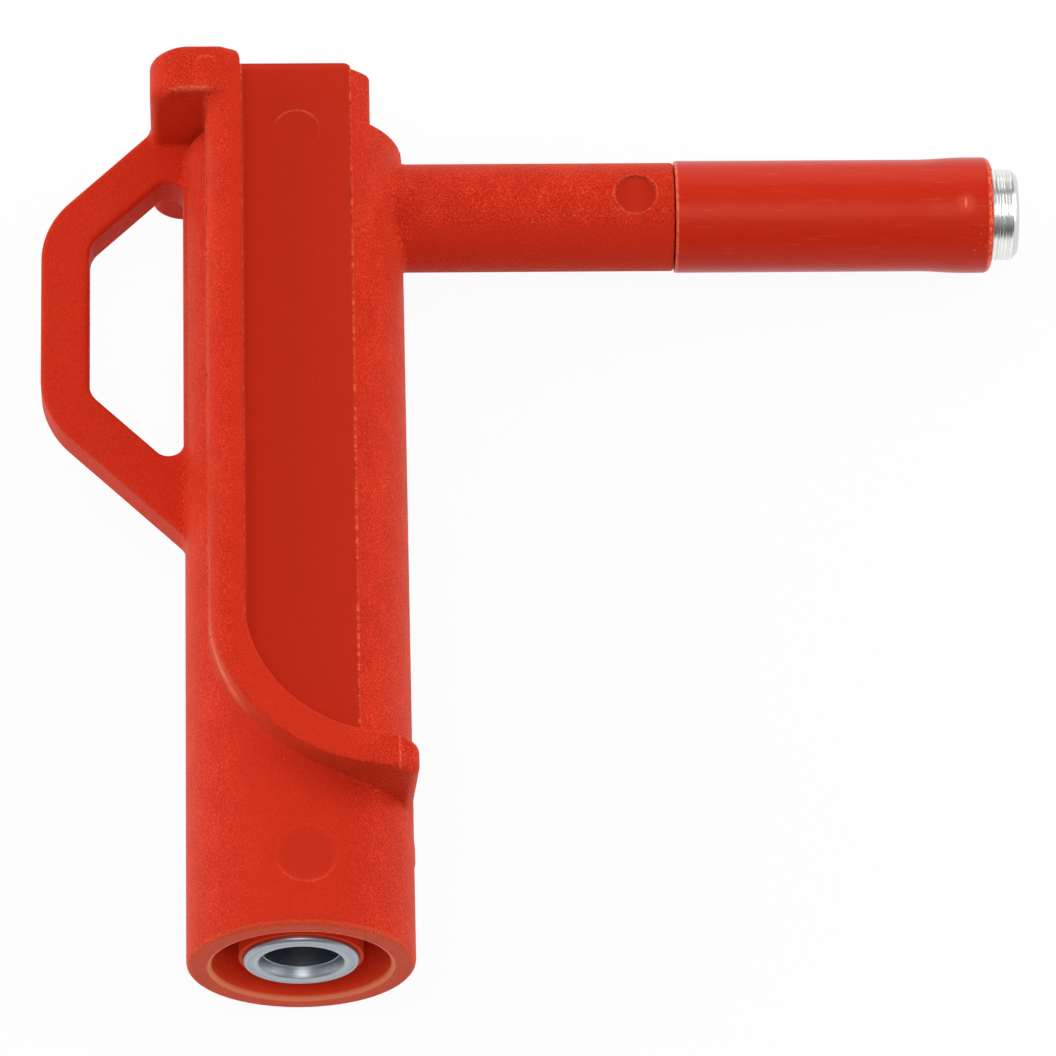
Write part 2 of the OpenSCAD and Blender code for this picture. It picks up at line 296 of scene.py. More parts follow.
def guardField(x, y, z, side, s):
    depth, fall, half = np.abs(y), np.sin(np.radians(s["sweepFall"])), s["bandWidth"] / 2
    front, underRoof = depth - s["guardHalf"], s["roofTop"] - s["roofDepth"]
    band = np.maximum(np.abs(side) - half, z - s["roofTop"] + s["roofDepth"] / 2)
    plan = roundMax(-s["ribX"] - half - x, front, s["ribCorner"])
    # the right end draws in towards its waist
    draw = np.arctan((s["guardRight"] - s["guardWaist"]) / s["guardHalf"])
    end = (x - s["guardWaist"]) * np.cos(draw) - depth * np.sin(draw)
    plan = roundMax(plan, end, s["endCorner"], -np.sin(draw))
    edge = s["bandEdge"] + (s["endRound"] - s["bandEdge"]) * ramp(x, 4.7, 5.9)
    band = roundMax(band, plan, edge, np.where(x > 5, np.where(side > 0, fall, -fall), 0.0))
    # the roof's edges grow rounder towards the left, and the upper one above the rib too
    pastRib = x + s["ribX"] - half
    corner = np.where(y > 0, s["roofBackCorner"], s["roofCorner"])
    plan = roundMax(roundMax(-s["roofLeft"] - x, front, corner), pastRib, 0.2)
    leftward = ramp(-x, 5.8, 7.4)
    roof = roundMax(plan, z - s["roofTop"], s["roofTopEdge"] + 0.2 * leftward + 0.5 * ramp(pastRib, -1.2, -0.3))
    roof = roundMax(roof, underRoof - z, s["roofLowEdge"] + 0.38 * leftward)
    # the fillet under the roof stays behind the faces that roof and rib share
    guard = np.maximum(roundMin(roof, band, s["roofRoot"]), front)
    return np.maximum(guard, side - half)


def loopField(x, z, depth, s):
    slope = np.radians(s["loopSlope"])
    high = np.abs(z - s["loopMiddle"])
    arm = (high - s["loopHalf"]) * np.cos(slope) - (x + s["barrelRadius"]) * np.sin(slope)
    outer = roundMax(-s["loopOut"] - x, arm - s["loopWidth"], s["loopOuterCorner"], np.sin(slope))
    hole = roundMax(s["loopWidth"] - s["loopOut"] - x, arm, s["loopInnerCorner"], np.sin(slope))
    hole = roundMax(hole, x + s["barrelRadius"], s["loopFillet"], -np.sin(slope))
    loop = np.maximum(np.maximum(outer, -hole), x + s["barrelRadius"] - 2)
    loop = np.maximum(loop, high - s["loopHalf"] - s["loopWidth"] / np.cos(slope))
    return roundMax(loop, depth - s["loopThick"] / 2, s["loopEdge"])


def housingField(x, y, z):
    s = housingSizes
    rho, depth = np.hypot(x, y), np.abs(y)
    side = sweepDistance(x, z, s)
    shape = barrelField(rho, x, z, depth, side, s)
    shape = roundMin(shape, guardField(x, y, z, side, s), s["guardFoot"])
    shape = roundMin(shape, loopField(x, z, depth, s), s["loopFoot"])

    off = np.hypot(y, z - s["armHeight"])
    stub = np.maximum(roundMax(off - s["stubRadius"], x - s["stubEnd"], s["stubEdge"]), -x)
    mark = np.hypot(x - s["markX"], z - s["armHeight"]) - s["markRadius"]
    mark = roundMax(mark, y + s["stubRadius"] - s["markDepth"], s["markEdge"])
    shape = roundMin(shape, np.maximum(stub, -mark), s["stubFoot"])

    slot = np.maximum(np.maximum(rho - s["slotRadius"], s["tubeRadius"] - rho), z - s["slotDepth"])
    slot = np.minimum(slot, np.maximum(rho - s["slotRadius"], z - s["tubeTop"]))
    shape = roundMax(shape, -slot, s["slotLip"])
    seat = np.maximum(rho - s["seatRadius"], z - s["seatDepth"])
    bore = np.maximum(off - s["studHole"], -x)
    return np.maximum(np.maximum(shape, -seat), -bore)


def fieldSlope(p, field, step=0.004):
    # the field's slope, which points out of the surface
    g = np.empty_like(p)
    for k in range(3):
        d = np.zeros(3)
        d[k] = step
        g[:, k] = field(*(p + d).T) - field(*(p - d).T)
    return g / (2 * step)


def unitSlope(p, field):
    g = fieldSlope(p, field)
    return g / np.maximum(np.linalg.norm(g, axis=1, keepdims=True), 1e-9)


def ontoSurface(p, field, rounds=2, reach=0.1):
    for _ in range(rounds):
        g = fieldSlope(p, field)
        move = g * (field(*p.T) / np.maximum((g * g).sum(1), 0.2))[:, None]
        length = np.linalg.norm(move, axis=1, keepdims=True)
        p = p - move * np.minimum(1.0, reach / np.maximum(length, 1e-9))
    return p


def edgeCrossings(field, start, stop, low, high):
    # where the field changes sign along each edge of the grid
    a, b = np.zeros(len(start)), np.ones(len(start))
    fa, fb = low.copy(), high.copy()
    t = fa / (fa - fb)
    for _ in range(3):
        v = field(*(start + t[:, None] * (stop - start)).T)
        same = (v < 0) == (fa < 0)
        a, fa = np.where(same, t, a), np.where(same, v, fa)
        b, fb = np.where(same, b, t), np.where(same, fb, v)
        t = a + (b - a) * fa / (fa - fb)
    return start + t[:, None] * (stop - start)


def contourField(field, low, high, step):
    # dual contouring: one vertex in each cell that the surface crosses, drawn to its edges
    counts = [int(math.ceil((h - l) / step)) + 1 for l, h in zip(low, high)]
    axes = [l + step * np.arange(n) for l, n in zip(low, counts)]
    values = np.empty(counts)
    y, z = np.meshgrid(axes[1], axes[2], indexing="ij")
    for i, x in enumerate(axes[0]):
        values[i] = field(np.full_like(y, x), y, z)
    inside = values < 0
    total = np.zeros([n - 1 for n in counts], np.uint8)
    for corner in range(8):
        dx, dy, dz = corner >> 2, (corner >> 1) & 1, corner & 1
        total += inside[dx:counts[0] - 1 + dx, dy:counts[1] - 1 + dy, dz:counts[2] - 1 + dz]
    cells = np.argwhere((total > 0) & (total < 8))
    index = np.full(total.shape, -1, np.int64)
    index[tuple(cells.T)] = np.arange(len(cells))
    origin = np.array(low)
    # for each cell, over its crossings: products of the normals, the planes' offsets, the points, their number
    sums = np.zeros((len(cells), 16))
    faces = []
    for axis in range(3):
        unit = np.zeros(3, int)
        unit[axis] = 1
        b, c = (axis + 1) % 3, (axis + 2) % 3
        edges = np.argwhere(np.diff(inside.astype(np.int8), axis=axis) != 0)
        far = edges + unit
        p = edgeCrossings(field, origin + step * edges, origin + step * far,
                          values[tuple(edges.T)], values[tuple(far.T)])
        n = unitSlope(p, field)
        terms = np.hstack(((n[:, :, None] * n[:, None, :]).reshape(-1, 9), n * (n * p).sum(1)[:, None],
                           p, np.ones((len(p), 1))))
        around = []
        for db, dc in ((-1, -1), (0, -1), (0, 0), (-1, 0)):
            cell = edges.copy()
            cell[:, b] += db
            cell[:, c] += dc
            ids = index[tuple(cell.T)]
            around.append(ids)
            for k in range(16):
                sums[:, k] += np.bincount(ids, terms[:, k], len(cells))
        quad = np.stack(around, 1)
        faces.append(np.where(inside[tuple(edges.T)][:, None], quad, quad[:, ::-1]))
    middle = sums[:, 12:15] / sums[:, 15:]
    products = sums[:, :9].reshape(-1, 3, 3)
    rest = sums[:, 9:12] - np.einsum("ijk,ik->ij", products, middle)
    # a weak pull towards the middle of the crossings
    move = np.linalg.solve(products + 0.02 * np.eye(3), rest[:, :, None])[:, :, 0]
    centre = origin + step * (cells + 0.5)
    return np.clip(middle + move, centre - step / 2, centre + step / 2), np.vstack(faces)


def contouredHousing(s):
    # the housing's triangles in the barrel frame, with the exact normal at each face's corners
    points, quads = contourField(housingField, s["gridLow"], s["gridHigh"], s["gridStep"])
    print("housing contour:", len(quads), "quads")
    points = ontoSurface(points, housingField)
    triangles = np.vstack((quads[:, [0, 1, 2]], quads[:, [0, 2, 3]]))
    rough = newObject("housingContour", triangleMesh("housingContour", points, triangles))
    thin = rough.modifiers.new("thin", "DECIMATE")
    thin.ratio = s["triangles"] / len(triangles)
    thin.use_collapse_triangulate = True
    thinned = asPlainMesh(rough, "housingContour")
    points, corners = pointsOf(thinned), cornersOf(thinned)
    bpy.data.meshes.remove(thinned)
    points = ontoSurface(points, housingField)
    at = points[corners]
    inward = at.mean(1)[:, None, :] - at
    inward /= np.maximum(np.linalg.norm(inward, axis=2, keepdims=True), 1e-9)
    normals = unitSlope((at + 0.02 * inward).reshape(-1, 3), housingField)
    return points, corners, normals


# Flash: the thin bead and the specks that the mould leaves along the edges of panel and rib
flashSizes = {"step": 0.11, "bead": 0.05, "speckStep": 0.16, "specks": 0.085, "reach": 0.05, "seed": 7,
              "panelLow": 10.55, "panelTop": 51.2, "endX": 5.12, "endLow": 8.2, "endTop": 9.75}


def flashTree():
    tree, given, result = newTree(
        "edgeFlash", "GeometryNodeTree",
        [("Path", "Geometry"), ("Step", "Float"), ("Bead Radius", "Float"), ("Speck Step", "Float"),
         ("Speck Radius", "Float"), ("Speck Reach", "Float"), ("Seed", "Int"), ("Material", "Material")],
        [("Geometry", "Geometry")])

    def randomOf(low, high, extra):
        seed = plus(tree, given["Seed"], extra)
        return addNode(tree, "FunctionNodeRandomValue", {2: low, 3: high, "Seed": seed}, data_type="FLOAT").outputs[1]

    line = addNode(tree, "GeometryNodeMeshToCurve", {"Mesh": given["Path"]}).outputs[0]
    line = addNode(tree, "GeometryNodeResampleCurve", {"Curve": line, "Length": given["Step"]}, mode="LENGTH")
    line = line.outputs[0]
    thick = times(tree, between(tree, noiseOf(tree, None, 2.1, 4.0, 0.75), 0.44, 0.70, 0.12, 1.35),
                  between(tree, noiseOf(tree, None, 0.21, 1.0), 0.35, 0.6, 0.45, 1.0))
    section = addNode(tree, "GeometryNodeCurvePrimitiveCircle", {"Resolution": 6, "Radius": given["Bead Radius"]})
    bead = addNode(tree, "GeometryNodeCurveToMesh", {"Curve": line, "Profile Curve": section.outputs[0],
                                                     "Scale": thick, "Fill Caps": True})
    # specks sit beside the line, each with its own size
    spread = addNode(tree, "FunctionNodeRandomValue", {
        0: (-1.0, -1.0, -1.0), 1: (1.0, 1.0, 1.0), "Seed": given["Seed"]}, data_type="FLOAT_VECTOR")
    offset = addNode(tree, "ShaderNodeVectorMath", {0: spread.outputs[0], "Scale": given["Speck Reach"]},
                     operation="SCALE")
    dots = addNode(tree, "GeometryNodeCurveToPoints", {"Curve": line, "Length": given["Speck Step"]}, mode="LENGTH")
    dots = addNode(tree, "GeometryNodeSetPosition", {"Geometry": dots.outputs[0], "Offset": offset.outputs[0]})
    crowd = between(tree, noiseOf(tree, None, 0.55, 2.0), 0.42, 0.62, 0.05, 0.75)
    kept = calc(tree, "LESS_THAN", randomOf(0.0, 1.0, 1.0), crowd)
    size = randomOf(0.35, 1.0, 2.0)
    ball = addNode(tree, "GeometryNodeMeshIcoSphere", {"Radius": given["Speck Radius"], "Subdivisions": 2})
    specks = addNode(tree, "GeometryNodeInstanceOnPoints", {
        "Points": dots.outputs[0], "Selection": kept, "Instance": ball.outputs[0],
        "Scale": times(tree, size, size)})
    both = addNode(tree, "GeometryNodeJoinGeometry")
    tree.links.new(specks.outputs[0], both.inputs[0])
    tree.links.new(bead.outputs[0], both.inputs[0])
    finishTree(tree, both, given, result)
    return tree


def pathMesh(name, points):
    mesh = bpy.data.meshes.new(name)
    mesh.from_pydata([tuple(p) for p in points], [(i, i + 1) for i in range(len(points) - 1)], [])
    return mesh


def sweepArc(s, radius, y, start, stop, count):
    return [(s["sweepRadius"] - s["ribX"] + radius * math.cos(a), y, s["sweepHeight"] + radius * math.sin(a))
            for a in np.radians(np.linspace(start, stop, count))]


def flashPaths(s, sizes):
    # each path with its share of the full thickness: first both long edges of the front panel
    half, y, band, top = s["panelHalf"], 0.01 - s["panelDepth"], s["bandWidth"] / 2, sizes["panelTop"]
    right = [(half - 0.03, y, z) for z in np.linspace(sizes["panelLow"], top, 60)]
    left = [(band + 0.02 - s["ribX"], y, z) for z in np.linspace(top, s["sweepHeight"], 50)]
    left += sweepArc(s, s["sweepRadius"] - band, y, 180, 260, 26)
    # the parting line down the rib's outer side and round under the sweep, and the sweep's right corner
    low, start = s["ribCorner"] - s["guardHalf"] - 0.1, s["roofTop"] - s["roofDepth"] - 0.6
    parting = [(0.01 - s["ribX"] - band, low, z) for z in np.linspace(start, s["sweepHeight"], 50)]
    parting += sweepArc(s, s["sweepRadius"] + band - 0.01, low, 180, 208, 14)
    corner = [(sizes["endX"], 0.03 - s["guardHalf"], z) for z in np.linspace(sizes["endLow"], sizes["endTop"], 8)]
    return {"panelRight": (right, 1.0), "panelLeft": ([p for p in left if p[0] < half - 0.1], 0.7),
            "ribParting": (parting, 0.75), "sweepCorner": (corner, 1.25)}


def flashMesh(name, path, tree, sizes, slim, seed):
    o = withNodes(name, pathMesh(name, path), tree, {
        "Step": sizes["step"], "Bead Radius": sizes["bead"] * slim, "Speck Step": sizes["speckStep"],
        "Speck Radius": sizes["specks"] * slim, "Speck Reach": sizes["reach"], "Seed": seed})
    mesh = o.data
    editMesh(mesh, triangles=True, outward=True)
    bpy.data.objects.remove(o)
    return mesh


flashing = flashTree()


def makeFlash(s, sizes, tree):
    points, corners = [], []
    count = 0
    for number, (name, (path, slim)) in enumerate(flashPaths(s, sizes).items()):
        mesh = flashMesh(name, path, tree, sizes, slim, sizes["seed"] + 10 * number)
        points.append(pointsOf(mesh))
        corners.append(cornersOf(mesh) + count)
        count += len(mesh.vertices)
        bpy.data.meshes.remove(mesh)
    return np.vstack(points), np.vstack(corners)


def makeHousing(s):
    points, corners, normals = contouredHousing(s)
    extra, extraCorners = makeFlash(s, flashSizes, flashing)
    at = extra[extraCorners]
    flat = np.cross(at[:, 1] - at[:, 0], at[:, 2] - at[:, 0])
    around = np.zeros_like(extra)
    for k in range(3):
        np.add.at(around, extraCorners[:, k], flat)
    around /= np.maximum(np.linalg.norm(around, axis=1, keepdims=True), 1e-12)
    allPoints = np.vstack((points, extra))
    allCorners = np.vstack((corners, extraCorners + len(points)))
    allNormals = np.vstack((normals, around[extraCorners].reshape(-1, 3)))
    print("housing mesh:", len(allCorners), "triangles,", len(extraCorners), "of them flash")
    mesh = triangleMesh("mouldedHousing", onTable(allPoints), allCorners)
    mesh.polygons.foreach_set("use_smooth", np.ones(len(allCorners), bool))
    mesh.normals_split_custom_set(alongTable(allNormals).tolist())
    mesh.update()
    return newObject("mouldedHousing", mesh)


housing = makeHousing(housingSizes)


# Turned pieces: a Geometry Nodes tree turns a profile of (along the axis, radius) round the axis
def turningTree():
    tree, given, result = newTree(
        "turnedPiece", "GeometryNodeTree",
        [("Profile", "Geometry"), ("Steps", "Int"), ("Merge Distance", "Float"), ("Material", "Material")],
        [("Geometry", "Geometry")])
    count = addNode(tree, "GeometryNodeAttributeDomainSize", {0: given["Profile"]}).outputs["Point Count"]
    rows = plus(tree, count, 1.0)
    columns = plus(tree, given["Steps"], 1.0)
    grid = addNode(tree, "GeometryNodeMeshGrid", {"Vertices X": columns, "Vertices Y": rows})
    index = addNode(tree, "GeometryNodeInputIndex").outputs[0]
    place = calc(tree, "MODULO", calc(tree, "MODULO", index, rows), count)
    turn = calc(tree, "FLOOR", calc(tree, "DIVIDE", index, rows))
    turn = times(tree, calc(tree, "DIVIDE", turn, given["Steps"]), 2 * math.pi)
    sample = addNode(tree, "GeometryNodeSampleIndex", {"Geometry": given["Profile"], "Index": place},
                     data_type="FLOAT_VECTOR", domain="POINT")
    tree.links.new(addNode(tree, "GeometryNodeInputPosition").outputs[0], sample.inputs["Value"])
    split = addNode(tree, "ShaderNodeSeparateXYZ", {0: sample.outputs[0]})
    spot = addNode(tree, "ShaderNodeCombineXYZ", {
        0: split.outputs[0], 1: times(tree, split.outputs[1], calc(tree, "COSINE", turn)),
        2: times(tree, split.outputs[1], calc(tree, "SINE", turn))})
    shaped = addNode(tree, "GeometryNodeSetPosition", {"Geometry": grid.outputs[0], "Position": spot.outputs[0]})
    closed = addNode(tree, "GeometryNodeMergeByDistance", {"Geometry": shaped.outputs[0],
                                                           "Distance": given["Merge Distance"]})
    finishTree(tree, closed, given, result)
    return tree


turning = turningTree()


def arcPoints(along, radius, r, start, end, steps=5):
    # a rounded corner of a profile, by the angle of its outward normal from the axis
    angles = [math.radians(start + (end - start) * i / steps) for i in range(steps + 1)]
    return [(along + r * math.cos(a), radius + r * math.sin(a)) for a in angles]


def turned(name, profile, height, steps):
    # height is the arm's, or None for a piece on the barrel's own axis
    o = withNodes(name, pathMesh(name, [(along, radius, 0) for along, radius in profile]), turning,
                  {"Steps": steps, "Merge Distance": 0.001})
    mesh = o.data
    points = pointsOf(mesh)
    points = points[:, [1, 2, 0]] if height is None else points + np.array((0, 0, height))
    mesh.vertices.foreach_set("co", onTable(points).ravel())
    editMesh(mesh, loose=True, outward=True)
    smoothMesh(mesh, 30)
    return o


armHeight = housingSizes["armHeight"]

contactSizes = {"mouth": 0.2, "boreRadius": 2.05, "boreDepth": 24.0, "leadRadius": 2.27, "leadDepth": 0.65,
                "flangeRadius": 3.11, "flangeThick": 0.35, "flangeEdge": 0.25, "radius": 2.7, "top": 47.0,
                "steps": 128}


def makeContact(s):
    m, e, bore, lead, top = s["mouth"], s["flangeEdge"], s["boreRadius"], s["leadRadius"], s["top"]
    end, back = m + s["boreDepth"], m + s["flangeThick"]
    profile = [(end, 0), (end, bore), (m + s["leadDepth"], bore), (m + s["leadDepth"] * 0.96, bore + 0.05),
               (m + 0.12, lead - 0.03), (m + 0.04, lead + 0.02), (m, lead + 0.1)]
    profile += arcPoints(m + e, s["flangeRadius"] - e, e, 180, 90, 6)
    profile += [(back, s["flangeRadius"]), (back, s["radius"]), (top - 0.3, s["radius"]),
                (top, s["radius"] - 0.3), (top, 0)]
    return turned("socketContact", profile, None, s["steps"])


contact = makeContact(contactSizes)

tipSizes = {"studStart": -2.2, "studRadius": 1.5, "thickStart": 21.69, "radius": 2.5, "face": 40.1,
            "chamfer": 0.3, "magnetRadius": 1.8, "magnetLength": 4.0, "gap": 0.03, "steps": 128}


def makeTip(s):
    start, stud, thick, r = s["studStart"], s["studRadius"], s["thickStart"], s["radius"]
    face, c, pocket = s["face"], s["chamfer"], s["magnetRadius"] + s["gap"]
    bottom = face - s["magnetLength"]
    profile = [(start, 0), (start, stud - 0.3), (start + 0.3, stud), (thick, stud), (thick, r),
               (face - c - 0.06, r), (face - c, r - 0.02), (face - 0.02, r - c), (face, r - c - 0.06),
               (face, pocket), (bottom, pocket), (bottom, 0)]
    return turned("tipRod", profile, armHeight, s["steps"])


def makeMagnet(s):
    face, bottom, r = s["face"], s["face"] - s["magnetLength"], s["magnetRadius"]
    profile = [(bottom, 0), (bottom, r)] + arcPoints(face - 0.1, r - 0.1, 0.1, 90, 0) + [(face, 0)]
    return turned("magnetDisc", profile, armHeight, s["steps"])


tip = makeTip(tipSizes)
magnet = makeMagnet(tipSizes)

sleeveSizes = {"start": 21.06, "end": 38.65, "radius": 3.1, "wall": 0.6, "studHole": 1.53, "hole": 2.53,
               "thickRadius": 3.21, "thickLength": 1.5, "blend": 2.6, "endRound": 0.45, "startRound": 0.12,
               "steps": 160}


def makeSleeve(s):
    e, b, wall = s["endRound"], s["startRound"], s["start"] + s["wall"]
    profile = [(wall, s["hole"]), (wall, s["studHole"]), (s["start"], s["studHole"])]
    profile += arcPoints(s["start"] + b, s["radius"] - b, b, 180, 90)
    swell = s["end"] - s["thickLength"] - s["blend"]
    for t in np.linspace(0, 1, 13):
        profile.append((swell + s["blend"] * t, s["radius"] + (s["thickRadius"] - s["radius"]) * ramp(t, 0, 1)))
    profile += arcPoints(s["end"] - e, s["thickRadius"] - e, e, 90, 0, 8)
    profile.append((s["end"], s["hole"]))
    piece = turned("armSleeve", profile, armHeight, s["steps"])
    # torn specks where the end was cut, on the side that faces away from the table
    r, x = s["thickRadius"] - 0.16, s["end"] - 0.1
    path = [(x, -r * math.cos(a), armHeight + r * math.sin(a)) for a in np.radians(np.linspace(70, -85, 48))]
    torn = flashMesh("sleeveFlash", path, flashing, flashSizes, 0.8, flashSizes["seed"] + 50)
    torn.vertices.foreach_set("co", onTable(pointsOf(torn)).ravel())
    editMesh(piece.data, added=torn, triangles=True)
    smoothMesh(piece.data, 35)
    bpy.data.meshes.remove(torn)
    return piece


sleeve = makeSleeve(sleeveSizes)
print("turned pieces made")


# Materials read Object coordinates turned into the barrel frame, in millimetres
def barrelCoordinates(tree):
    where = addNode(tree, "ShaderNodeTexCoord")
    back = barrelToTable.transposed()
    mapping = addNode(tree, "ShaderNodeMapping", {
        "Vector": where.outputs["Object"], "Rotation": back.to_euler("XYZ"),
        "Scale": (1 / mm, 1 / mm, 1 / mm), "Location": -(back @ mouthPoint) / mm})
    split = addNode(tree, "ShaderNodeSeparateXYZ", {0: mapping.outputs[0]}).outputs
    return mapping.outputs[0], split[0], split[1], split[2]


def newMaterial(name, values):
    m = bpy.data.materials.new(name)
    m.use_nodes = True
    shader = m.node_tree.nodes["Principled BSDF"]
    for socket, value in values.items():
        shader.inputs[socket].default_value = value
    return m, m.node_tree, shader


def finishMaterial(tree, shader, colour, roughness, height, look):
    tree.links.new(colour, shader.inputs["Base Color"])
    tree.links.new(roughness, shader.inputs["Roughness"])
    bump = addNode(tree, "ShaderNodeBump", {"Strength": look["bump"], "Distance": look["bumpDepth"],
                                            "Height": height})
    tree.links.new(bump.outputs[0], shader.inputs["Normal"])


def grainGroup():
    # the fine texture of a spark-eroded mould: height for the bump, tone and bright specks for the colour
    tree, given, result = newTree(
        "mouldGrain", "ShaderNodeTree", [("Vector", "Vector"), ("Grain", "Float"), ("Speck Share", "Float")],
        [("Height", "Float"), ("Tone", "Float"), ("Specks", "Float")])
    where = given["Vector"]
    scale = calc(tree, "DIVIDE", 1.0, given["Grain"])
    fine = noiseOf(tree, where, scale, 3.0, 0.62)
    pits = addNode(tree, "ShaderNodeTexVoronoi", {"Vector": where, "Scale": times(tree, scale, 0.8)})
    height = plus(tree, fine, times(tree, pits.outputs[0], 0.35))
    cloud = noiseOf(tree, where, 0.55, 2.0)
    tone = plus(tree, times(tree, fine, 0.85), times(tree, cloud, 0.15))
    dots = addNode(tree, "ShaderNodeTexVoronoi", {"Vector": where, "Scale": 1.15})
    pick = addNode(tree, "ShaderNodeSeparateColor", {0: dots.outputs["Color"]})
    chosen = calc(tree, "LESS_THAN", pick.outputs[0], given["Speck Share"])
    tree.links.new(height, result["Height"])
    tree.links.new(between(tree, tone, 0.32, 0.68, smooth=False), result["Tone"])
    tree.links.new(times(tree, chosen, below(tree, dots.outputs[0], 0.03, 0.08)), result["Specks"])
    return tree


grain = grainGroup()


def grainOutputs(tree, where, look):
    g = addNode(tree, "ShaderNodeGroup", {"Vector": where, "Grain": look["grain"], "Speck Share": look["speckShare"]},
                node_tree=grain)
    return g.outputs["Height"], g.outputs["Tone"], g.outputs["Specks"]


redLook = {
    # edge is the pale colour of the painted highlights and glints; the lip colour is a painted highlight; slot paints
    # light on the slot's walls
    "deep": (0.44, 0.012, 0.004, 1.0), "bright": (0.84, 0.050, 0.018, 1.0), "edge": (0.92, 0.16, 0.07, 1.0),
    "panelDeep": (0.50, 0.025, 0.009, 1.0), "panelBright": (0.56, 0.029, 0.011, 1.0),
    "lipHighlight": (0.95, 0.25, 0.12, 1.0), "slot": (0.93, 0.06, 0.02, 1.0),
    "grain": 0.095, "speckShare": 0.10, "rough": (0.46, 0.30), "bump": 1.0, "bumpDepth": 0.00005,
    "shader": {"Specular IOR Level": 0.06, "Specular Tint": (1.0, 0.5, 0.35, 1.0), "Sheen Weight": 0.26,
               "Sheen Roughness": 0.3, "Sheen Tint": (1.0, 0.30, 0.10, 1.0)},
    # marks of the ejector pins: x, z, radius, and how plainly the upper half shows as a painted highlight, or the
    # lower if negative
    "rings": ((0.2, 47.3, 1.25, 1.0), (0.3, 4.0, 1.6, -0.5), (-4.75, 49.95, 0.62, 0.8)),
}


def polishedMasks(tree, x, y, z, depth, inside, s):
    # the smooth panels, and the stub's round mark with a painted highlight on its rim
    panel = times(tree, between(tree, depth, s["panelDepth"] - 0.2, s["panelDepth"] - 0.12),
                  below(tree, depth, s["panelDepth"] + 0.035, s["panelDepth"] + 0.09), inside,
                  below(tree, x, s["panelHalf"] - 0.1, s["panelHalf"]))
    mark = lengthOf(tree, minus(tree, x, s["markX"]), minus(tree, z, s["armHeight"]))
    onFront = below(tree, y, -2.3, -2.1)
    rimHighlight = times(tree, closeTo(tree, mark, s["markRadius"], 0.03, 0.08), onFront)
    mark = times(tree, below(tree, mark, s["markRadius"] - 0.05, s["markRadius"]), onFront)
    return largest(tree, panel, mark), rimHighlight


def ejectorMasks(tree, x, y, z, tone, rings):
    # rings on the panel and the roof, paler as a painted highlight and plainest on one half, and a ring with a smooth
    # patch in it near the mouth
    lines, patch = 0.0, 0.0
    for ringX, ringZ, radius, share in rings:
        far = lengthOf(tree, minus(tree, x, ringX), minus(tree, z, ringZ))
        half = math.copysign(radius, share)
        shown = between(tree, z, ringZ + half * 0.1, ringZ + half * 0.9, 0.06, abs(share))
        line = times(tree, closeTo(tree, far, radius, 0.03, 0.1), shown)
        lines = plus(tree, lines, line)
        if share < 0:
            patch = between(tree, far, radius * 0.7, radius * 1.05, 0.7, 0.0)
    onFront = below(tree, y, -5.0, -4.9)
    lines = times(tree, lines, onFront, between(tree, tone, 0.25, 0.75, 0.35, 1.2))
    return lines, times(tree, patch, onFront)


def grainGlintShare(tree, x, y, z, s):
    # painted glints: the grain's colour contrast is strongest on the flanks, the rib and the upper half of the stub,
    # and faint under the stub, on the loop and under the roof
    flanks = between(tree, calc(tree, "ABSOLUTE", plus(tree, x, 0.2)), 1.6, 4.6)
    underStub = times(tree, between(tree, x, 6.0, 6.6), below(tree, z, s["armHeight"] - 2.2, s["armHeight"] - 1.3))
    loop = below(tree, x, -6.6, -6.1)
    underRoof = times(tree, between(tree, y, -6.6, -6.2), between(tree, z, 47.0, 48.4), below(tree, x, -4.9, -4.5))
    plain = times(tree, largest(tree, underStub, loop, underRoof), between(tree, y, -7.2, -6.9))
    share = times(tree, flanks, minus(tree, 1.0, plain))
    return between(tree, share, 0.0, 1.0, 0.3, 0.95, smooth=False)


